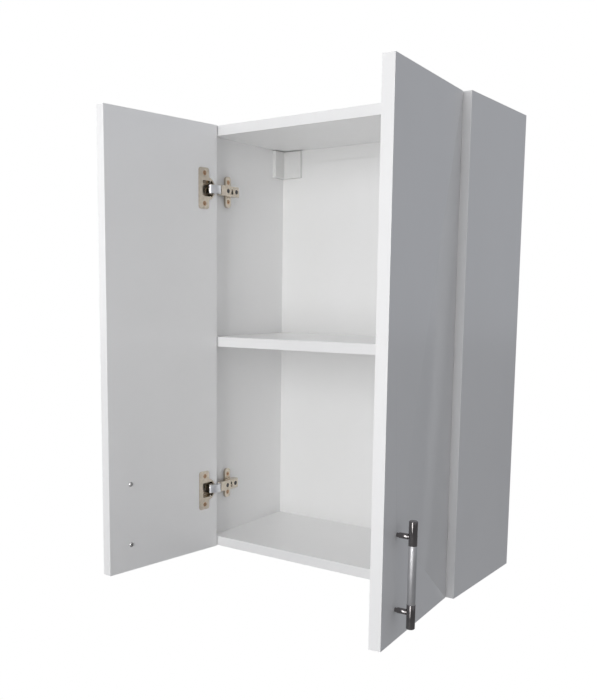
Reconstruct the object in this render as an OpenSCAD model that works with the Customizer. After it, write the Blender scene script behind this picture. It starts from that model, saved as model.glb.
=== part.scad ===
// Two-door wall cabinet: boards joined by cam fittings and dowels, one fixed shelf,
// concealed cup hinges, bar handles and covered corner brackets for hanging.
// +Z is up and +Y points into the wall. The origin lies on the wall plane, midway
// between the two wall screw holes. The doors are drawn open, as they rest.

/* [Cabinet] */
// Width across the side panels
cabinet_w = 460; // [360:1:800]
// Height of the side panels and doors
cabinet_h = 700; // [500:1:1000]
// Depth from the wall to the front edges, without the doors
cabinet_d = 207; // [150:1:400]
// Thickness of the carcass boards
board_t = 16; // [14:0.5:22]
// Thickness of the back panel
back_t = 3; // [2.5:0.5:6]
// Width of the rebate that the back panel sits in
rebate_w = 8; // [5:0.5:10]
// Height of the shelf's underside above the bottom of the cabinet
shelf_z = 342; // [250:1:440]
// Gap between the shelf and each side panel
shelf_gap = 0.5; // [0.2:0.1:2]

/* [Doors] */
// Thickness of the doors
door_t = 16; // [15:0.5:22]
// Gap between the two doors when they are shut
door_gap = 3; // [2:0.5:6]
// Distance from the outer face of a side panel to the edge of its shut door
door_reveal = 1; // [0.5:0.5:2]
// Gap between a shut door and the carcass
shut_gap = 1.5; // [1.5:0.5:3]
// Angle at which the left door stands open
left_open = 96.6; // [90:0.1:104]
// Angle at which the right door stands open
right_open = 94.5; // [90:0.1:104]

/* [Hinges] */
// Distance from the top or bottom of the door to the middle of its hinge
hinge_inset = 102; // [70:1:140]
// Radius of the cup
cup_r = 17.5; // [17.5:0.5:17.5]
// Distance from the door's edge to the middle of the cup
cup_inset = 22.5; // [21.5:0.5:24]
// Depth of the cup
cup_depth = 11.5; // [11:0.5:12]
// Distance between the two screws of a cup
cup_screw_pitch = 48; // [45:1:52]
// Distance between the two screws of a mounting plate
plate_screw_pitch = 32; // [32:1:32]
// Distance from the front edge of the side panel to the mounting plate's screws
plate_setback = 37; // [34:1:40]
// Turn of the links for each degree that the door opens
link_ratio = 0.53; // [0.5:0.01:0.55]

/* [Handles] */
// Distance between the two posts of a handle
post_pitch = 96; // [64:16:160]
// Length of the handle's bar, ends included
bar_len = 137; // [112:1:240]
// Diameter of the handle's bar
bar_d = 11; // [8:0.5:14]
// Length of each polished end of the bar
bar_end_len = 31; // [25:1:40]
// Distance from the door's face to the middle of the bar
bar_offset = 21; // [16:1:36]
// Distance from the door's free edge to the handle
handle_inset = 42; // [25:1:60]
// Height of the handle's middle above the bottom of the door
handle_z = 89; // [75:1:300]

/* [Hangers] */
// Reach of a hanger cover along the side panel
hanger_side_len = 34; // [28:1:50]
// Reach of a hanger cover along the back panel
hanger_back_len = 41; // [36:1:60]
// Height of a hanger cover
hanger_h = 47; // [40:1:60]
// Thickness of a hanger cover's legs
hanger_t = 7; // [6.5:0.5:10]
// Radius of the wall screw holes
wall_hole_r = 3; // [2:0.5:4]
// Distance from the side panel's inner face to its wall screw hole
wall_hole_inset = 24; // [18:1:30]

/* [Hidden] */
$fn = 48;

eps = 0.01;       // overcut, so that no cut leaves a skin
slip = 0.05;      // radial clearance of a fitting in its own hole
panel_white = [0.93, 0.93, 0.93];
back_white = [0.90, 0.90, 0.90];
nickel = [0.78, 0.74, 0.68];
chrome = [0.42, 0.42, 0.45];
satin = [0.66, 0.66, 0.67];
zinc = [0.60, 0.60, 0.60];
beech = [0.80, 0.66, 0.48];
black = [0.05, 0.05, 0.05];
cover_white = [0.92, 0.92, 0.91];

// Places that follow from the sizes above
inner_w = cabinet_w - 2 * board_t;
side_in = cabinet_w / 2 - board_t;
ceiling_z = cabinet_h - board_t;
hanger_gap = 1;
hole_z = ceiling_z - hanger_gap - hanger_h / 2;
bottom_z = -hole_z;
door_w = cabinet_w / 2 - door_gap / 2 - door_reveal;
inner_depth = cabinet_d - back_t;

// Carcass fittings
dowel_r = 4;
dowel_in_side = 11;
dowel_in_board = 19;
bolt_r = 3;
bolt_in_side = 11;
cam_reach = 34;
cam_r = 7.5;
cam_depth = 12.5;
fitting_edge = 40;
joint_ys = [-fitting_edge, fitting_edge - cabinet_d];
pin_r = 2.5;
pin_in_side = 10;
pin_in_shelf = 9;
nail_r = 0.7;
nail_head_r = 1.8;
nail_head_t = 0.6;
nail_len = 14;
nails_up = 5;
nails_across = 3;

// Hinge parts, in a hinge's own plane: across is away from the side panel's inner
// face, and back is into the cabinet from its front edges
arm_pin = [12, 2];
inner_arm_pin = [12, 10];
cup_pin = [11.2, -3.6];      // from the door's edge, and into its inner face
inner_cup_pin_y = -6.6;
link_pin_r = 1.25;
link_pin_slip = 0.08;
link_half_w = 6.6;
link_plate_t = 1.2;
link_web_t = 1;
link_eye_r = 2.4;
inner_link_t = 5;
ear_in = 7;
ear_t = 1.2;
arm_top = 16;
arm_front = 4.2;
arm_back = 50.5;
arm_sheet = 1.2;
arm_nose_r = 2.6;
arm_throat = 9;
arm_heel = 24;
arm_clear = 1;
cup_wall = 0.9;
cup_floor = 0.9;
cup_lid = 0.9;
cup_notch = 1.6;
mouth_h = 25;
mouth_far = 31;
mouth_round = 2;
liner_t = 0.8;
liner_near = 24;
liner_far = 31;
liner_half_h = 13;
rim_r = 18.5;
rim_t = 0.6;
flange_t = 1.2;
flange_near = 19;
flange_far = 41;
flange_len = 65;
plate_t = 4;
wing_w = 14;
wing_round = 6;
wing_len = 51;
rail_w = 12;
rail_h = 4;
rail_front = 20;
rail_end_gap = 2;
screw_core_r = 2.2;
cup_screw_len = 11;
plate_screw_len = 12;
screw_head_r = 3.8;
cup_screw_x = 28.5;
side_screw_back = 22;
keyhole_back = 32.5;
cam_screw_back = 44;
adjuster_r = 3.5;
adjuster_shank_r = 2;
adjuster_proud = 0.2;
keyhole_r = 2.5;
keyslot_r = 1.7;
keyhole_half = 2.4;

// Handle and hanger parts
handle_screw_r = 2;
post_r = 2.8;
collar_r = 3.6;
collar_len = 12;
bar_wall = 1.2;
grip_step = 0.3;
bar_bevel = 0.8;
screw_in_post = 8;
handle_head_r = 3.8;
handle_head_t = 1.6;
cover_wall = 1.4;
bracket_t = 2;
hanger_head_t = 2;

// Turns a point about the origin
function turn(a, p) = [cos(a) * p[0] - sin(a) * p[1], sin(a) * p[0] + cos(a) * p[1]];

// Where the door's hinge-side inner corner is when the door stands open by this angle.
// The links turn one way while the door turns the other way about the cup pins.
shut_corner = [door_reveal - board_t, -shut_gap];
function door_corner(open) =
    arm_pin + turn(link_ratio * open, shut_corner + cup_pin - arm_pin) - turn(-open, cup_pin);

// A point of the cabinet in the coordinates of its open door
function to_door(p, open) = turn(open, p - door_corner(open));

// The inner link's cup pin is as far from its arm pin with the door open as with it shut
function inner_cup_pin(open) =
    let (a = to_door(inner_arm_pin, 0), b = to_door(inner_arm_pin, open))
    [(a * a - b * b - 2 * inner_cup_pin_y * (a[1] - b[1])) / (2 * (a[0] - b[0])), inner_cup_pin_y];

function open_of(left) = left ? left_open : right_open;
function hinge_z(upper) = bottom_z + (upper ? cabinet_h - hinge_inset : hinge_inset);

// Puts a piece on the left, or its mirror image on the right
module sided(left) {
    if (left) children();
    else mirror([1, 0, 0]) children();
}

// The corner where a side panel's inner face meets its front edge
module at_side_front(left) {
    sided(left) translate([-side_in, -cabinet_d, 0]) children();
}

// The open door's own axes: X along the door from its hinge edge, Y out of its inner face
module at_door(left) {
    corner = door_corner(open_of(left));
    at_side_front(left) translate([corner[0], corner[1], 0])
        rotate([0, 0, -open_of(left)]) children();
}

// A board with its low corner at a point
module board(corner, size) {
    translate(corner) cube(size);
}

// A smooth curve through the points, with a few steps between each two
curve_steps = 4;
function clamped(points, i) = points[max(0, min(len(points) - 1, i))];
function curve_point(a, b, c, d, t) =
    0.5 * (2 * b + (c - a) * t + (2 * a - 5 * b + 4 * c - d) * t * t + (3 * b - a - 3 * c + d) * t * t * t);
function curve(points) = concat(
    [for (i = [0 : len(points) - 2], k = [0 : curve_steps - 1])
        curve_point(clamped(points, i - 1), points[i], points[i + 1], clamped(points, i + 2), k / curve_steps)],
    [points[len(points) - 1]]);

// The direction across a path at one of its points
function across(points, i) =
    let (d = clamped(points, i + 1) - clamped(points, i - 1)) [-d[1], d[0]] / norm(d);

// A strip of even width along a smooth curve through the points
module strip2d(points, half_w) {
    line = curve(points);
    last = len(line) - 1;
    polygon(concat(
        [for (i = [0 : last]) line[i] + half_w * across(line, i)],
        [for (i = [last : -1 : 0]) line[i] - half_w * across(line, i)]));
}

// A slab between two heights, the same above and below the middle plane
module layers(low, high) {
    translate([0, 0, low]) linear_extrude(high - low) children();
    translate([0, 0, -high]) linear_extrude(high - low) children();
}

// A rectangle with round corners, centred
module rounded2d(w, h, r) {
    for (x = [-1, 1], y = [-1, 1]) translate([x * (w / 2 - r), y * (h / 2 - r)]) circle(r);
    square([w - 2 * r, h], center = true);
    square([w, h - 2 * r], center = true);
}

// A cross recess that opens at z = 0 and goes down
module cross_recess(arm, width, depth) {
    translate([0, 0, -depth / 2 + eps]) {
        cube([2 * arm, width, depth], center = true);
        cube([width, 2 * arm, depth], center = true);
    }
}

// A screw with its head's top at z = 0, pointing down
module screw(head_r, core_r, head_t, length) {
    difference() {
        union() {
            translate([0, 0, -head_t]) cylinder(h = head_t, r1 = core_r, r2 = head_r);
            translate([0, 0, -length]) cylinder(h = length - head_t + eps, r = core_r);
        }
        cross_recess(head_r * 0.55, 0.9, 1.2);
    }
}

// The places of the cam bolts in each end of the top and bottom panels
module at_joints() {
    for (x = [-1, 1], z = [board_t / 2, cabinet_h - board_t / 2], y = joint_ys)
        translate([x * side_in, y, bottom_z + z]) rotate([0, x * 90, 0]) children();
}

// The places of the dowels, one between the bolts of each joint
module at_dowels() {
    for (x = [-1, 1], z = [board_t / 2, cabinet_h - board_t / 2])
        translate([x * side_in, -cabinet_d / 2, bottom_z + z]) rotate([0, x * 90, 0]) children();
}

// The places of the shelf pins, in the middle of the shelf's ends
module at_shelf_pins() {
    for (x = [-1, 1], y = joint_ys)
        translate([x * side_in, y, bottom_z + shelf_z + board_t / 2]) rotate([0, x * 90, 0]) children();
}

// The places of the two screws of a hanger bracket, in the side panel
module at_hanger_screws(left) {
    for (z = [-1, 1])
        sided(left) translate([-side_in, -back_t - hanger_side_len / 2, z * hanger_h / 4])
            rotate([0, 90, 0]) children();
}

// The place of a hanger's wall screw hole, on the wall plane
module at_wall_hole(left) {
    sided(left) translate([-side_in + wall_hole_inset, 0, 0]) rotate([90, 0, 0]) children();
}

// The places of the mounting plates' screws, with z away from the side panel
module at_plate_screws(left) {
    for (upper = [true, false], z = [-1, 1])
        at_side_front(left) translate([0, plate_setback, hinge_z(upper) + z * plate_screw_pitch / 2])
            rotate([0, 90, 0]) children();
}

// The places of the cup screws, with z out of the door's inner face
module at_cup_screws(left) {
    for (upper = [true, false], z = [-1, 1])
        at_door(left) translate([cup_screw_x, 0, hinge_z(upper) + z * cup_screw_pitch / 2])
            rotate([-90, 0, 0]) children();
}

module side_panel(left) {
    color(panel_white) difference() {
        sided(left) board([-cabinet_w / 2, -cabinet_d, bottom_z], [board_t, cabinet_d, cabinet_h]);
        sided(left) board([-side_in - rebate_w, -back_t, bottom_z + board_t - rebate_w],
            [rebate_w + eps, back_t + eps, ceiling_z - board_t + 2 * rebate_w]);
        at_joints() cylinder(h = bolt_in_side, r = bolt_r + slip);
        at_dowels() cylinder(h = dowel_in_side, r = dowel_r + slip);
        at_shelf_pins() cylinder(h = pin_in_side, r = pin_r + slip);
        at_plate_screws(left) translate([0, 0, -plate_screw_len]) cylinder(h = plate_screw_len + eps,
            r = screw_core_r + slip);
        at_hanger_screws(left) translate([0, 0, -plate_screw_len]) cylinder(h = plate_screw_len + eps,
            r = screw_core_r + slip);
    }
}
module left_side_panel() { side_panel(true); }
module right_side_panel() { side_panel(false); }

// The top or bottom board, its rear inner edge rebated for the back panel
module end_board(low_z, rebate_z, cam_face_z, cam_dir) {
    color(panel_white) difference() {
        board([-side_in, -cabinet_d, low_z], [inner_w, cabinet_d, board_t]);
        board([-side_in - eps, -back_t, rebate_z], [inner_w + 2 * eps, back_t + eps, rebate_w + eps]);
        at_joints() translate([0, 0, -cam_reach]) cylinder(h = cam_reach + eps, r = bolt_r + slip);
        at_dowels() translate([0, 0, -dowel_in_board - slip]) cylinder(h = dowel_in_board + 1,
            r = dowel_r + slip);
        for (x = [-1, 1], y = joint_ys)
            translate([x * (side_in - cam_reach), y, cam_face_z]) mirror([0, 0, cam_dir])
                translate([0, 0, -cam_depth - slip]) cylinder(h = cam_depth + 1, r = cam_r + slip);
    }
}
module top_panel() {
    end_board(bottom_z + ceiling_z, bottom_z + ceiling_z - eps, bottom_z + cabinet_h, 0);
}
module bottom_panel() {
    end_board(bottom_z, bottom_z + board_t - rebate_w, bottom_z, 1);
}

module shelf() {
    color(panel_white) difference() {
        board([-side_in + shelf_gap, -cabinet_d, bottom_z + shelf_z],
            [inner_w - 2 * shelf_gap, inner_depth, board_t]);
        at_shelf_pins() translate([0, 0, -pin_in_shelf - 1]) cylinder(h = pin_in_shelf + 2, r = pin_r + slip);
    }
}

module back_panel() {
    color(back_white) difference() {
        board([-side_in - rebate_w + slip, -back_t, bottom_z + board_t - rebate_w + slip],
            [inner_w + 2 * (rebate_w - slip), back_t, ceiling_z - board_t + 2 * (rebate_w - slip)]);
        for (left = [true, false]) at_wall_hole(left) translate([0, 0, -1]) cylinder(h = back_t + 2,
            r = wall_hole_r);
    }
}

module carcass_dowels() {
    color(beech) at_dowels() translate([0, 0, -dowel_in_board]) cylinder(h = dowel_in_board + dowel_in_side,
        r = dowel_r);
}

// Each bolt has a waist and a ball end that its cam grips
module cam_bolts() {
    color(zinc) at_joints() {
        cylinder(h = bolt_in_side, r = bolt_r);
        translate([0, 0, -cam_reach + cam_r]) cylinder(h = cam_reach - cam_r, r = bolt_r);
        translate([0, 0, -cam_reach - 1]) cylinder(h = cam_r + 1 + eps, r = bolt_r / 2);
        translate([0, 0, -cam_reach]) sphere(r = bolt_r);
    }
}

module cam_locks() {
    color(zinc) for (x = [-1, 1], y = joint_ys, top = [0, 1])
        translate([x * (side_in - cam_reach), y, bottom_z + top * cabinet_h]) mirror([0, 0, 1 - top])
            difference() {
                translate([0, 0, -cam_depth]) cylinder(h = cam_depth, r = cam_r);
                translate([0, 0, -board_t / 2]) rotate([0, x * 90, 0])
                    cylinder(h = cam_r + 1, r = bolt_r + slip);
                translate([0, 0, -board_t / 2]) sphere(r = bolt_r + slip);
                translate([0, 0, -board_t / 2]) rotate([0, -x * 90, 0])
                    cylinder(h = bolt_r / 2 + 1, r = bolt_r / 2 + slip);
                cross_recess(4, 1.4, 2);
            }
}

module shelf_pins() {
    color(zinc) at_shelf_pins() translate([0, 0, -pin_in_shelf]) cylinder(h = pin_in_shelf + pin_in_side,
        r = pin_r);
}

// Nails round the edge of the back panel, their heads flush with it
module back_nails() {
    edge_x = side_in + rebate_w / 2;
    low = board_t - rebate_w / 2;
    high = ceiling_z + rebate_w / 2;
    color(zinc) {
        for (x = [-1, 1], i = [1 : nails_up])
            back_nail([x * edge_x, bottom_z + low + i * (high - low) / (nails_up + 1)]);
        for (z = [low, high], i = [1 : nails_across])
            back_nail([(2 * i / (nails_across + 1) - 1) * side_in, bottom_z + z]);
    }
}
module back_nail(place) {
    translate([place[0], 0, place[1]]) rotate([90, 0, 0]) {
        cylinder(h = nail_head_t, r = nail_head_r);
        cylinder(h = nail_len, r = nail_r);
    }
}

// A door with its hinge cup bores and its handle screw holes
module door(left) {
    color(panel_white) difference() {
        at_door(left) board([0, -door_t, bottom_z], [door_w, door_t, cabinet_h]);
        for (upper = [true, false])
            at_door(left) translate([cup_inset, eps, hinge_z(upper)]) rotate([90, 0, 0])
                cylinder(h = cup_depth + 0.5, r = cup_r + slip);
        at_cup_screws(left) translate([0, 0, -cup_screw_len]) cylinder(h = cup_screw_len + eps,
            r = screw_core_r + slip);
        at_posts(left) translate([0, 0, -door_t - 1]) cylinder(h = door_t + 2, r = handle_screw_r + slip);
    }
}
module left_door() { door(true); }
module right_door() { door(false); }

// The places of a handle's posts on the door's outer face, with z out of the door
module at_posts(left) {
    for (z = [-1, 1])
        at_door(left) translate([door_w - handle_inset, -door_t, bottom_z + handle_z + z * post_pitch / 2])
            rotate([90, 0, 0]) children();
}

// The middle of a handle's bar, with z along it
module at_bar(left) {
    at_door(left) translate([door_w - handle_inset, -door_t - bar_offset, bottom_z + handle_z]) children();
}

// The satin middle of the bar, a slightly thinner tube over the core that the ends share
module handle_grip(left) {
    grip_len = bar_len - 2 * bar_end_len;
    color(satin) at_bar(left) difference() {
        cylinder(h = grip_len, r = bar_d / 2 - grip_step, center = true);
        cylinder(h = grip_len + 1, r = bar_d / 2 - bar_wall, center = true);
    }
}
module left_handle_grip() { handle_grip(true); }
module right_handle_grip() { handle_grip(false); }

// The two polished ends and the core that joins them through the grip
module handle_ends(left) {
    grip_len = bar_len - 2 * bar_end_len;
    color(chrome) difference() {
        at_bar(left) {
            for (flip = [0, 180]) rotate([flip, 0, 0]) {
                translate([0, 0, grip_len / 2]) cylinder(h = bar_end_len - bar_bevel, r = bar_d / 2);
                translate([0, 0, bar_len / 2 - bar_bevel]) cylinder(h = bar_bevel, r1 = bar_d / 2,
                    r2 = bar_d / 2 - bar_bevel);
            }
            cylinder(h = grip_len + 2, r = bar_d / 2 - bar_wall - slip, center = true);
        }
        at_posts(left) cylinder(h = bar_offset, r = post_r + slip);
    }
}
module left_handle_ends() { handle_ends(true); }
module right_handle_ends() { handle_ends(false); }

// The two posts, each with a thicker collar by the bar and a threaded hole for its screw
module handle_posts(left) {
    bar_near = bar_offset - bar_d / 2;
    color(chrome) at_posts(left) difference() {
        union() {
            cylinder(h = bar_offset - slip, r = post_r);
            translate([0, 0, bar_near - collar_len]) cylinder(h = collar_len - 0.6, r = collar_r);
        }
        translate([0, 0, -eps]) cylinder(h = screw_in_post + 1, r = handle_screw_r + slip);
    }
}
module left_handle_posts() { handle_posts(true); }
module right_handle_posts() { handle_posts(false); }

// The handle's screws, put in from the door's inner face
module handle_screws(left) {
    color(zinc) at_posts(left) translate([0, 0, -door_t]) difference() {
        union() {
            cylinder(h = door_t + screw_in_post, r = handle_screw_r);
            translate([0, 0, -handle_head_t]) cylinder(h = handle_head_t, r1 = 2.6, r2 = handle_head_r);
        }
        translate([0, 0, -handle_head_t]) mirror([0, 0, 1]) cross_recess(2, 0.9, 1.2);
    }
}
module left_handle_screws() { handle_screws(true); }
module right_handle_screws() { handle_screws(false); }

// The corner behind a hanger, with X away from the side and Y towards the wall
module at_hanger(left) {
    sided(left) translate([-side_in, -back_t, 0]) children();
}

// The steel angle that carries the cabinet: one leg on the side, one on the back
module hanger_bracket(left) {
    room = cover_wall + 0.6;
    color(zinc) difference() {
        at_hanger(left) {
            board([0, room - hanger_side_len, room - hanger_h / 2],
                [bracket_t, hanger_side_len - room, hanger_h - 2 * room]);
            board([0, -bracket_t, room - hanger_h / 2],
                [hanger_back_len - room, bracket_t, hanger_h - 2 * room]);
        }
        at_wall_hole(left) cylinder(h = back_t + bracket_t + 1, r = wall_hole_r);
        at_hanger_screws(left) translate([0, 0, -eps]) cylinder(h = bracket_t + 1, r = screw_core_r + slip);
    }
}
module left_hanger_bracket() { hanger_bracket(true); }
module right_hanger_bracket() { hanger_bracket(false); }

// The snap-on plastic cover, hollow towards the panels
module hanger_cover(left) {
    color(cover_white) at_hanger(left) translate([0, 0, -hanger_h / 2]) difference() {
        hanger_angle(hanger_side_len, hanger_back_len, hanger_t, hanger_h);
        translate([-eps, eps, cover_wall]) hanger_angle(hanger_side_len - cover_wall,
            hanger_back_len - cover_wall, hanger_t - cover_wall, hanger_h - 2 * cover_wall);
    }
}
module hanger_angle(side_len, back_len, t, h) {
    board([0, -side_len, 0], [t, side_len, h]);
    board([0, -t, 0], [back_len, t, h]);
}
module left_hanger_cover() { hanger_cover(true); }
module right_hanger_cover() { hanger_cover(false); }

module hanger_screws(left) {
    color(zinc) at_hanger_screws(left) {
        translate([0, 0, -plate_screw_len]) cylinder(h = plate_screw_len + bracket_t + 0.4, r = screw_core_r);
        difference() {
            translate([0, 0, bracket_t]) cylinder(h = hanger_head_t, r1 = screw_head_r, r2 = 2.4);
            translate([0, 0, bracket_t + hanger_head_t]) cross_recess(2, 0.9, 1.2);
        }
    }
}
module left_hanger_screws() { hanger_screws(true); }
module right_hanger_screws() { hanger_screws(false); }

// The pressed steel cup with its rim, its screw flange and the ears that hold the link pins
module hinge_cup(left, upper) {
    ear_deep = cup_depth - cup_floor;
    color(nickel) at_door(left) translate([0, 0, hinge_z(upper)]) difference() {
        union() {
            difference() {
                union() {
                    translate([cup_inset, 0, 0]) rotate([90, 0, 0]) cylinder(h = cup_depth, r = cup_r);
                    translate([cup_inset, 0, 0]) rotate([-90, 0, 0]) cylinder(h = rim_t, r = rim_r);
                    translate([(flange_near + flange_far) / 2, 0, 0]) rotate([-90, 0, 0])
                        linear_extrude(flange_t) rounded2d(flange_far - flange_near, flange_len, 4);
                }
                translate([cup_inset, -cup_lid, 0]) rotate([90, 0, 0])
                    cylinder(h = cup_depth - cup_floor - cup_lid, r = cup_r - cup_wall);
                cup_mouth();
            }
            layers(ear_in, ear_in + ear_t) translate([cup_pin[0] - 2.4, -ear_deep - eps])
                square([6.4, ear_deep - 1.2]);
        }
        board([0, -cup_notch, -ear_in], [cup_inset / 2, cup_notch + 2 * rim_t, 2 * ear_in]);
        translate([cup_pin[0], cup_pin[1], 0]) cylinder(h = 4 * ear_in, r = link_pin_r + link_pin_slip,
            center = true);
        for (z = [-1, 1]) translate([cup_screw_x, flange_t + eps, z * cup_screw_pitch / 2]) rotate([90, 0, 0]) {
            cylinder(h = flange_t + 1, r = screw_core_r + slip);
            cylinder(h = flange_t, r1 = screw_head_r + slip, r2 = screw_core_r + slip);
        }
    }
}

// The mouth in the top of a cup, which the links pass through
module cup_mouth() {
    reach = cup_inset - cup_r + cup_wall;
    intersection() {
        translate([cup_inset, 2 * flange_t, 0]) rotate([90, 0, 0])
            cylinder(h = 2 * flange_t + cup_lid + eps, r = cup_r - cup_wall);
        translate([(reach + mouth_far) / 2, -cup_lid - eps, 0]) rotate([-90, 0, 0])
            linear_extrude(3 * flange_t + cup_lid)
                rounded2d(mouth_far - reach + 2 * mouth_round, mouth_h, mouth_round);
    }
}

// The arm: a steel channel over the mounting plate, with ears at its front for the link pins
module hinge_arm(left, upper) {
    color(nickel) at_side_front(left) translate([0, 0, hinge_z(upper)]) difference() {
        union() {
            layers(ear_in, ear_in + ear_t) arm_side2d();
            translate([0, 0, -ear_in - eps]) linear_extrude(2 * (ear_in + eps))
                translate([arm_top - arm_sheet, arm_front]) square([arm_sheet, arm_back - arm_front]);
        }
        for (p = [arm_pin, inner_arm_pin]) translate([p[0], p[1], 0])
            cylinder(h = 4 * ear_in, r = link_pin_r + link_pin_slip, center = true);
        for (b = [side_screw_back, cam_screw_back])
            translate([0, b, 0]) rotate([0, 90, 0]) cylinder(h = arm_top + 1, r = adjuster_r + slip);
        translate([0, keyhole_back, 0]) rotate([0, 90, 0]) {
            translate([keyhole_half, 0, 0]) cylinder(h = arm_top + 1, r = keyhole_r);
            translate([-keyhole_half, 0, 0]) cylinder(h = arm_top + 1, r = keyslot_r);
            translate([-keyhole_half, -keyslot_r, 0]) cube([2 * keyhole_half, 2 * keyslot_r, arm_top + 1]);
        }
    }
}
// The side of the arm: tall at the back, with a round nose about the outer link's pin
module arm_side2d() {
    low = plate_t + arm_clear;
    translate(arm_pin) circle(arm_nose_r);
    polygon([
        arm_pin - [arm_nose_r, 0], arm_pin + [arm_nose_r, 0], [arm_top, arm_front],
        [arm_top, arm_back], [low, arm_back], [low, arm_heel], [arm_pin[0] - arm_nose_r, arm_throat]
    ]);
}

// The cross-shaped mounting plate: two wings screwed to the side and a rail for the arm
module hinge_plate(left, upper) {
    color(nickel) at_side_front(left) translate([0, 0, hinge_z(upper)]) difference() {
        union() {
            translate([0, plate_setback, 0]) rotate([0, 90, 0]) linear_extrude(plate_t)
                rounded2d(wing_len, wing_w, wing_round);
            board([0, rail_front, -rail_w / 2],
                [plate_t + rail_h, arm_back - rail_end_gap - rail_front, rail_w]);
        }
        for (z = [-1, 1]) translate([0, plate_setback, z * plate_screw_pitch / 2]) rotate([0, 90, 0]) {
            translate([0, 0, -eps]) cylinder(h = plate_t + 1, r = screw_core_r + slip);
            translate([0, 0, plate_t - 2 + eps]) cylinder(h = 2, r1 = screw_core_r + slip,
                r2 = screw_head_r + slip);
        }
        for (b = [side_screw_back, cam_screw_back])
            translate([-eps, b, 0]) rotate([0, 90, 0]) cylinder(h = plate_t + 5, r = adjuster_shank_r + slip);
    }
}

// The outer link: two plates joined by a curved web that arches over the door's edge
module outer_link(left, upper) {
    pin = to_door(arm_pin, open_of(left));
    arch = [pin + [-1.2, 4], [-3, 6], [3, 7.2], [9.5, 5.4], [14, 2.3], [16.4, -0.4]];
    under = [[15.4, -1.6], [13.2, -2.6], cup_pin + [-1.9, -0.2], [8, 1.4], [3.4, 3.1], [-1.9, 2.3], pin];
    color(nickel) at_door(left) translate([0, 0, hinge_z(upper)]) difference() {
        union() {
            layers(link_half_w - link_plate_t, link_half_w) {
                polygon(concat([pin + [-2, 0.8]], curve(arch), under));
                translate(pin) circle(link_eye_r);
                translate(cup_pin) circle(link_eye_r);
            }
            translate([0, 0, -link_half_w]) linear_extrude(2 * link_half_w)
                polygon(concat(curve(arch), under_arch(curve(arch))));
        }
        for (p = [pin, cup_pin]) translate([p[0], p[1], 0])
            cylinder(h = 4 * ear_in, r = link_pin_r, center = true);
    }
}

// A line the web's thickness below the arch, from its far end back to its near end
function under_arch(line) =
    [for (i = [len(line) - 1 : -1 : 0]) line[i] - link_web_t * across(line, i)];

// The inner link, with its two pins riveted in. It runs in the middle, under the outer link.
module inner_link(left, upper) {
    arm_end = to_door(inner_arm_pin, open_of(left));
    cup_end = inner_cup_pin(open_of(left));
    pin_half = ear_in + ear_t;
    color(nickel) at_door(left) translate([0, 0, hinge_z(upper)]) {
        translate([0, 0, -inner_link_t / 2]) linear_extrude(inner_link_t) {
            strip2d([arm_end, [-7, -0.2], [-1, 2.4], [5, 2.2], [7.6, 0.2], [8.4, -3.6], cup_end], 0.9);
            translate(arm_end) circle(2);
            translate(cup_end) circle(1.9);
        }
        translate([arm_end[0], arm_end[1], 0]) cylinder(h = 2 * pin_half, r = link_pin_r, center = true);
        translate([cup_end[0], cup_end[1], 0]) cylinder(h = inner_link_t + 3, r = link_pin_r, center = true);
    }
}

module upper_left_hinge_cup() { hinge_cup(true, true); }
module lower_left_hinge_cup() { hinge_cup(true, false); }
module upper_right_hinge_cup() { hinge_cup(false, true); }
module lower_right_hinge_cup() { hinge_cup(false, false); }
module upper_left_hinge_arm() { hinge_arm(true, true); }
module lower_left_hinge_arm() { hinge_arm(true, false); }
module upper_right_hinge_arm() { hinge_arm(false, true); }
module lower_right_hinge_arm() { hinge_arm(false, false); }
module upper_left_hinge_plate() { hinge_plate(true, true); }
module lower_left_hinge_plate() { hinge_plate(true, false); }
module upper_right_hinge_plate() { hinge_plate(false, true); }
module lower_right_hinge_plate() { hinge_plate(false, false); }
module upper_left_outer_link() { outer_link(true, true); }
module lower_left_outer_link() { outer_link(true, false); }
module upper_right_outer_link() { outer_link(false, true); }
module lower_right_outer_link() { outer_link(false, false); }
module upper_left_inner_link() { inner_link(true, true); }
module lower_left_inner_link() { inner_link(true, false); }
module upper_right_inner_link() { inner_link(false, true); }
module lower_right_inner_link() { inner_link(false, false); }

module hinge_cup_screws(left) {
    color(nickel) at_cup_screws(left) translate([0, 0, flange_t]) screw(screw_head_r, screw_core_r,
        flange_t, cup_screw_len + flange_t - 1);
}
module left_hinge_cup_screws() { hinge_cup_screws(true); }
module right_hinge_cup_screws() { hinge_cup_screws(false); }

module hinge_plate_screws(left) {
    color(nickel) at_plate_screws(left) translate([0, 0, plate_t]) screw(screw_head_r, screw_core_r,
        2, plate_screw_len + plate_t - 1);
}
module left_hinge_plate_screws() { hinge_plate_screws(true); }
module right_hinge_plate_screws() { hinge_plate_screws(false); }

// The side adjusting screw and the cam that clamps the arm, one pair to a hinge
module hinge_adjusters(left) {
    color(zinc) for (upper = [true, false], b = [side_screw_back, cam_screw_back])
        at_side_front(left) translate([0, b, hinge_z(upper)]) rotate([0, 90, 0]) difference() {
            union() {
                translate([0, 0, 1]) cylinder(h = arm_top - 1, r = adjuster_shank_r);
                translate([0, 0, plate_t + rail_h + adjuster_proud])
                    cylinder(h = arm_top - plate_t - rail_h, r = adjuster_r);
            }
            translate([0, 0, arm_top + adjuster_proud]) cross_recess(2.4, 1, 1.6);
        }
}
module left_hinge_adjusters() { hinge_adjusters(true); }
module right_hinge_adjusters() { hinge_adjusters(false); }

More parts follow.
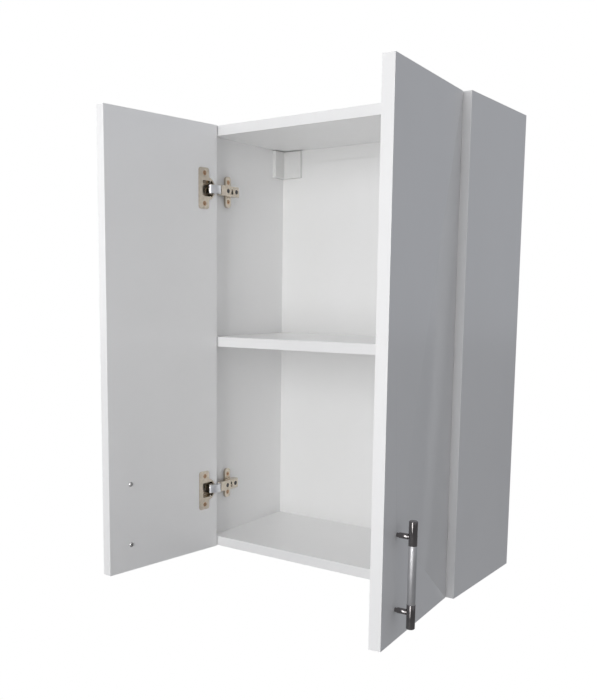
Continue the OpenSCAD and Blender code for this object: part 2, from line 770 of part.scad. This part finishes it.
// The black plastic spring cover in the far side of each cup
module hinge_liners(left) {
    floor_y = cup_floor - cup_depth + slip;
    color(black) for (upper = [true, false])
        at_door(left) translate([0, 0, hinge_z(upper)]) intersection() {
            translate([cup_inset, 0, 0]) rotate([90, 0, 0])
                cylinder(h = cup_depth, r = cup_r - cup_wall - 4 * slip);
            union() {
                board([liner_near, floor_y, -liner_half_h], [cup_r, liner_t, 2 * liner_half_h]);
                board([liner_far, floor_y, -liner_half_h],
                    [cup_r, -floor_y - cup_lid - slip, 2 * liner_half_h]);
            }
        }
}
module left_hinge_liners() { hinge_liners(true); }
module right_hinge_liners() { hinge_liners(false); }

// The bent leaf spring inside each arm that snaps the door shut
module hinge_springs(left) {
    color(zinc) for (upper = [true, false])
        at_side_front(left) translate([0, 0, hinge_z(upper) - 4]) linear_extrude(8)
            strip2d([[13.8, 12.4], [13.2, 14], [10.2, 16.2], [9.2, 17.2]], 0.35);
}
module left_hinge_springs() { hinge_springs(true); }
module right_hinge_springs() { hinge_springs(false); }

// The stub pins of each outer link, two in the arm and two in the cup
module link_pins(left) {
    color(nickel) for (upper = [true, false], p = [to_door(arm_pin, open_of(left)), cup_pin])
        at_door(left) translate([p[0], p[1], hinge_z(upper)])
            layers(link_half_w - link_plate_t - 0.5, ear_in + ear_t) circle(link_pin_r);
}
module left_link_pins() { link_pins(true); }
module right_link_pins() { link_pins(false); }

left_side_panel();
right_side_panel();
top_panel();
bottom_panel();
back_panel();
shelf();
carcass_dowels();
cam_bolts();
cam_locks();
shelf_pins();
back_nails();
left_door();
right_door();
left_handle_grip();
left_handle_ends();
left_handle_posts();
left_handle_screws();
right_handle_grip();
right_handle_ends();
right_handle_posts();
right_handle_screws();
left_hanger_bracket();
left_hanger_cover();
left_hanger_screws();
right_hanger_bracket();
right_hanger_cover();
right_hanger_screws();
upper_left_hinge_cup();
upper_left_hinge_arm();
upper_left_hinge_plate();
upper_left_outer_link();
upper_left_inner_link();
lower_left_hinge_cup();
lower_left_hinge_arm();
lower_left_hinge_plate();
lower_left_outer_link();
lower_left_inner_link();
upper_right_hinge_cup();
upper_right_hinge_arm();
upper_right_hinge_plate();
upper_right_outer_link();
upper_right_inner_link();
lower_right_hinge_cup();
lower_right_hinge_arm();
lower_right_hinge_plate();
lower_right_outer_link();
lower_right_inner_link();
left_hinge_cup_screws();
left_hinge_plate_screws();
left_hinge_adjusters();
left_hinge_liners();
left_hinge_springs();
left_link_pins();
right_hinge_cup_screws();
right_hinge_plate_screws();
right_hinge_adjusters();
right_hinge_liners();
right_hinge_springs();
right_link_pins();
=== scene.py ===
"""A hanging wall cabinet with its doors open: finishes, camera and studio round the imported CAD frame."""
import math

import bpy
from mathutils import Matrix, Vector

MM = 0.001

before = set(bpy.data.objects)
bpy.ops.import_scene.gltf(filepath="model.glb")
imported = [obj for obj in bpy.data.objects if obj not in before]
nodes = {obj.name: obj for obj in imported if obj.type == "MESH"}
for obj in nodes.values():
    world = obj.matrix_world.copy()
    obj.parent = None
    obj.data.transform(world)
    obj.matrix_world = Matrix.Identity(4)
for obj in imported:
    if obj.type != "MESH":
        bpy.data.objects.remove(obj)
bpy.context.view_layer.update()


# --- shader helpers -------------------------------------------------------------------------------

class Shader:
    """A material's node tree, with the few node patterns that the finishes share."""

    def __init__(self, name):
        self.material = bpy.data.materials.new(name)
        self.material.use_nodes = True
        self.tree = self.material.node_tree
        self.bsdf = self.tree.nodes["Principled BSDF"]

    def node(self, kind, **inputs):
        made = self.tree.nodes.new(kind)
        for name, value in inputs.items():
            self.feed(made.inputs[name.replace("_", " ")], value)
        return made

    def feed(self, socket, value):
        if isinstance(value, bpy.types.NodeSocket):
            self.tree.links.new(value, socket)
        else:
            socket.default_value = value

    def set(self, **inputs):
        for name, value in inputs.items():
            self.feed(self.bsdf.inputs[name.replace("_", " ")], value)

    def noise(self, size, stretch=(1, 1, 1), detail=3.0):
        """Noise whose features measure about size metres, drawn out along the axes by stretch."""
        place = self.node("ShaderNodeTexCoord")
        scaled = self.node("ShaderNodeMapping", Vector=place.outputs["Object"],
                           Scale=[1 / (size * s) for s in stretch])
        made = self.node("ShaderNodeTexNoise", Vector=scaled.outputs["Vector"], Scale=1.0, Detail=detail)
        return made.outputs["Fac"]

    def between(self, value, low, high):
        """The noise value spread from low to high."""
        made = self.node("ShaderNodeMapRange", Value=value)
        made.inputs["From Min"].default_value = 0.3
        made.inputs["From Max"].default_value = 0.7
        made.inputs["To Min"].default_value = low
        made.inputs["To Max"].default_value = high
        return made.outputs["Result"]

    def mixed(self, value, low, high):
        """A colour between two, by the noise value."""
        made = self.node("ShaderNodeValToRGB", Fac=value)
        made.color_ramp.elements[0].position = 0.3
        made.color_ramp.elements[1].position = 0.7
        made.color_ramp.elements[0].color = (*low, 1)
        made.color_ramp.elements[1].color = (*high, 1)
        return made.outputs["Color"]

    def bump(self, height, distance, strength):
        made = self.node("ShaderNodeBump", Height=height, Distance=distance, Strength=strength)
        return made.outputs["Normal"]


# --- finishes -------------------------------------------------------------------------------------

def melamine(name, tint, gloss):
    """Smooth white melamine: a faint orange-peel surface under a slight gloss."""
    s = Shader(name)
    peel = s.noise(1.4 * MM, detail=2.0)
    cloud = s.noise(90 * MM)
    darker = tuple(0.985 * c for c in tint)
    s.set(Base_Color=s.mixed(cloud, darker, tint), Roughness=s.between(peel, 0.40, 0.46),
          Normal=s.bump(peel, 0.012 * MM, 0.6), Coat_Weight=gloss, Coat_Roughness=0.16, Coat_IOR=1.5)
    return s.material


def foil_board():
    """The back panel's thin white foil, a little rougher than the boards."""
    s = Shader("white_foil")
    grain = s.noise(0.8 * MM, stretch=(1, 1, 6))
    cloud = s.noise(120 * MM)
    s.set(Base_Color=s.mixed(cloud, (0.915, 0.915, 0.905), (0.93, 0.93, 0.925)),
          Roughness=s.between(grain, 0.50, 0.60), Normal=s.bump(grain, 0.02 * MM, 0.5))
    return s.material


def moulded_plastic(name, tint, roughness):
    """Injection-moulded plastic with a fine spark-eroded grain."""
    s = Shader(name)
    grain = s.noise(0.25 * MM)
    cloud = s.noise(15 * MM)
    low = tuple(0.97 * c for c in tint)
    s.set(Base_Color=s.mixed(cloud, low, tint), IOR=1.5, Normal=s.bump(grain, 0.01 * MM, 0.5),
          Roughness=s.between(grain, roughness - 0.04, roughness + 0.04))
    return s.material


def plated_metal(name, low, high, roughness, cloud_size=6 * MM):
    """Pressed and plated steel: the plating's colour drifts a little, over a slightly rolled surface."""
    s = Shader(name)
    drift = s.noise(cloud_size)
    rolled = s.noise(2.2 * MM, stretch=(1, 1, 3))
    s.set(Base_Color=s.mixed(drift, low, high), Metallic=1.0,
          Roughness=s.between(drift, roughness - 0.04, roughness + 0.06),
          Normal=s.bump(rolled, 0.02 * MM, 0.5))
    return s.material


def brushed_grip():
    """Satin steel, turned on a lathe: fine rings round the bar."""
    s = Shader("brushed_steel")
    rings = s.noise(0.35 * MM, stretch=(30, 30, 1))
    smudge = s.noise(12 * MM)
    s.set(Base_Color=s.mixed(smudge, (0.60, 0.60, 0.61), (0.66, 0.66, 0.67)), Metallic=1.0,
          Roughness=s.between(rings, 0.44, 0.54), Normal=s.bump(rings, 0.02 * MM, 0.6), Anisotropic=0.3)
    return s.material


def beech_wood():
    """Straight-grained beech with short darker flecks."""
    s = Shader("beech_wood")
    fleck = s.noise(1.2 * MM, stretch=(8, 1, 1))
    s.set(Base_Color=s.mixed(fleck, (0.56, 0.40, 0.24), (0.72, 0.56, 0.37)),
          Roughness=s.between(fleck, 0.55, 0.7), Normal=s.bump(fleck, 0.05 * MM, 0.6))
    return s.material


FINISHES = {
    "board": melamine("white_melamine", (0.95, 0.95, 0.95), 0.6),
    "back": foil_board(),
    "cover": moulded_plastic("white_plastic", (0.86, 0.86, 0.85), 0.36),
    # The cup liners are near-black: partly the real black plastic spring cover, partly painted shade that
    # stands in for the shadow inside the hinge cups
    "black": moulded_plastic("black_plastic", (0.012, 0.012, 0.013), 0.45),
    "nickel": plated_metal("nickel_plate", (0.56, 0.50, 0.42), (0.70, 0.63, 0.54), 0.16),
    "screw": plated_metal("screw_plate", (0.42, 0.26, 0.16), (0.58, 0.40, 0.27), 0.26, 2 * MM),
    "zinc": plated_metal("zinc_plate", (0.50, 0.50, 0.50), (0.62, 0.62, 0.61), 0.32),
    "link": plated_metal("bright_nickel", (0.80, 0.81, 0.84), (0.88, 0.89, 0.92), 0.38),
    "dark_zinc": plated_metal("dark_zinc", (0.09, 0.09, 0.09), (0.16, 0.16, 0.16), 0.35, 2 * MM),
    "chrome": plated_metal("dark_chrome", (0.22, 0.21, 0.21), (0.27, 0.25, 0.25), 0.12, 20 * MM),
    "grip": brushed_grip(),
    "beech": beech_wood(),
}

# Which finish a node has, by a word in its name; the first that fits counts
FINISH_OF = [
    ("back_panel", "back"), ("panel", "board"), ("shelf_pins", "zinc"), ("shelf", "board"),
    ("left_door", "board"), ("right_door", "board"), ("dowels", "beech"), ("hanger_cover", "cover"),
    ("liners", "black"), ("grip", "grip"), ("handle_ends", "chrome"), ("posts", "chrome"),
    ("cup_screws", "screw"), ("plate_screws", "screw"), ("hinge_adjusters", "dark_zinc"), ("springs", "zinc"),
    ("outer_link", "link"), ("hinge", "nickel"), ("link", "nickel"), ("", "zinc"),
]

# The radius that softens a finish's edges
EDGE_RADIUS = {
    "board": 0.5 * MM, "back": 0.2 * MM, "cover": 0.6 * MM, "black": 0.3 * MM, "nickel": 0.25 * MM,
    "link": 0.25 * MM, "dark_zinc": 0.1 * MM, "screw": 0.1 * MM, "zinc": 0.12 * MM,
    "chrome": 0.25 * MM, "grip": 0.1 * MM, "beech": 0.3 * MM,
}
FLANGE_RADIUS = 0.5 * MM     # the deeper pressed edge of a hinge cup's flange
WELD_DISTANCE = 0.002 * MM
SHARP_ANGLE = math.radians(35)


def finish_name(node):
    return next(finish for word, finish in FINISH_OF if word in node)


def soften(piece, radius):
    """Rounds the sharp edges of a piece, and keeps its flat faces flat."""
    weld = piece.modifiers.new("weld", "WELD")
    weld.merge_threshold = WELD_DISTANCE
    bevel = piece.modifiers.new("edges", "BEVEL")
    bevel.width = radius
    bevel.segments = 2
    bevel.limit_method = "ANGLE"
    bevel.angle_limit = SHARP_ANGLE
    bevel.harden_normals = True


def finish_nodes():
    for name, piece in nodes.items():
        finish = finish_name(name)
        piece.data.materials.clear()
        piece.data.materials.append(FINISHES[finish])
        soften(piece, FLANGE_RADIUS if name.endswith("hinge_cup") else EDGE_RADIUS[finish])


# --- camera and studio ----------------------------------------------------------------------------

CAMERA_AT = Vector((0.7110, -1.3401, -0.2249))
CAMERA_YAW = math.radians(36.92)      # turned to the left of straight ahead
CAMERA_PITCH = math.radians(7.33)     # tipped down
CAMERA_ROLL = math.radians(0.29)
LENS = 44.7                           # millimetres, on a 36 mm sensor
SHIFT = (0.0733, 0.0752)
FLOOR_Z = -1.9
FLOOR_REACH = 30                      # metres from the middle to each side
SENSOR_WIDTH = 36


def make_camera():
    ahead = Vector((-math.sin(CAMERA_YAW), math.cos(CAMERA_YAW), 0))
    right = Vector((math.cos(CAMERA_YAW), math.sin(CAMERA_YAW), 0))
    up = Vector((0, 0, 1))
    look = ahead * math.cos(CAMERA_PITCH) - up * math.sin(CAMERA_PITCH)
    top = up * math.cos(CAMERA_PITCH) + ahead * math.sin(CAMERA_PITCH)
    across = right * math.cos(CAMERA_ROLL) + top * math.sin(CAMERA_ROLL)
    above = top * math.cos(CAMERA_ROLL) - right * math.sin(CAMERA_ROLL)
    camera = bpy.data.objects.new("camera", bpy.data.cameras.new("camera"))
    bpy.context.scene.collection.objects.link(camera)
    camera.matrix_world = Matrix.Translation(CAMERA_AT) @ Matrix((across, above, -look)).transposed().to_4x4()
    camera.data.lens = LENS
    camera.data.sensor_width = SENSOR_WIDTH
    camera.data.shift_x, camera.data.shift_y = SHIFT
    bpy.context.scene.camera = camera


def seen_white(tree, light, output):
    """The background is plain white where it is seen, and lights the object with light."""
    path = tree.nodes.new("ShaderNodeLightPath")
    white = tree.nodes.new("ShaderNodeBackground" if output.type == "OUTPUT_WORLD" else "ShaderNodeEmission")
    white.inputs["Color"].default_value = (1, 1, 1, 1)
    white.inputs["Strength"].default_value = 1.0
    mix = tree.nodes.new("ShaderNodeMixShader")
    tree.links.new(path.outputs["Is Camera Ray"], mix.inputs["Fac"])
    tree.links.new(light, mix.inputs[1])
    tree.links.new(white.outputs[0], mix.inputs[2])
    tree.links.new(mix.outputs["Shader"], output.inputs["Surface"])


# Soft light from far round the room: the direction it comes from, how wide it spreads, its colour
ROOM_LIGHT = (0.350, 0.350, 0.360)
ROOM_LOBES = [
    ((0.7, 0.7, 0.1), 0.3, (0.10, 0.12, 0.15)),
    ((-0.9, -0.5, 0.15), 0.90, (1.6, 1.6, 1.6)),
]


def make_world():
    """Soft light with a few broad bright directions, as a room with windows and white walls has."""
    world = bpy.data.worlds.new("studio")
    bpy.context.scene.world = world
    world.use_nodes = True
    tree = world.node_tree
    place = tree.nodes.new("ShaderNodeTexCoord")
    total = tree.nodes.new("ShaderNodeRGB").outputs["Color"]
    total.default_value = (*ROOM_LIGHT, 1)
    for direction, reach, colour in ROOM_LOBES:
        facing = tree.nodes.new("ShaderNodeVectorMath")
        facing.operation = "DOT_PRODUCT"
        facing.inputs[1].default_value = Vector(direction).normalized()
        tree.links.new(place.outputs["Generated"], facing.inputs[0])
        fade = tree.nodes.new("ShaderNodeMapRange")
        fade.interpolation_type = "SMOOTHSTEP"
        fade.inputs["From Min"].default_value = reach
        fade.inputs["From Max"].default_value = 1.0
        tree.links.new(facing.outputs["Value"], fade.inputs["Value"])
        add = tree.nodes.new("ShaderNodeMixRGB")
        add.blend_type = "ADD"
        add.inputs["Color2"].default_value = (*colour, 1)
        tree.links.new(fade.outputs["Result"], add.inputs["Fac"])
        tree.links.new(total, add.inputs["Color1"])
        total = add.outputs["Color"]
    soft = tree.nodes["Background"]
    tree.links.new(total, soft.inputs["Color"])
    seen_white(tree, soft.outputs["Background"], tree.nodes["World Output"])


def make_floor():
    """A plain pale floor, far below the cabinet."""
    mesh = bpy.data.meshes.new("floor")
    corners = [(x * FLOOR_REACH, y * FLOOR_REACH, FLOOR_Z) for x, y in ((-1, -1), (1, -1), (1, 1), (-1, 1))]
    mesh.from_pydata(corners, [], [(0, 1, 2, 3)])
    floor = bpy.data.objects.new("floor", mesh)
    bpy.context.scene.collection.objects.link(floor)
    s = Shader("pale_floor")
    s.set(Base_Color=(0.45, 0.45, 0.45, 1), Roughness=0.8)
    seen_white(s.tree, s.bsdf.outputs["BSDF"], s.tree.nodes["Material Output"])
    mesh.materials.append(s.material)


def area_light(name, at, toward, width, height, power):
    data = bpy.data.lights.new(name, "AREA")
    data.shape = "RECTANGLE"
    data.size = width
    data.size_y = height
    data.energy = power
    light = bpy.data.objects.new(name, data)
    light.location = at
    light.rotation_mode = "QUATERNION"
    light.rotation_quaternion = (Vector(at) - Vector(toward)).to_track_quat("Z", "Y")
    light.visible_camera = False
    bpy.context.scene.collection.objects.link(light)


# Each light's name, its place and what it faces, its width and height in metres, and its watts
LIGHTS = [
    ("key", (0.4, -3.5, -0.1), (0, -0.2, -0.3), 0.7, 3.0, 26),
    ("near_fill", (0.15, -1.8, -0.1), (0, -0.2, -0.3), 0.3, 1.4, 6.5),
    ("left_fill", (-0.5, -1.2, 0.1), (0.2, -0.2, -0.3), 0.4, 0.4, 0.5),
    ("rear_fill", (-0.5, 2.2, 0.6), (0, 0, -0.3), 0.8, 0.8, 18),
]

finish_nodes()
make_camera()
make_world()
make_floor()
for light in LIGHTS:
    area_light(*light)
bpy.context.scene.view_settings.view_transform = "Standard"
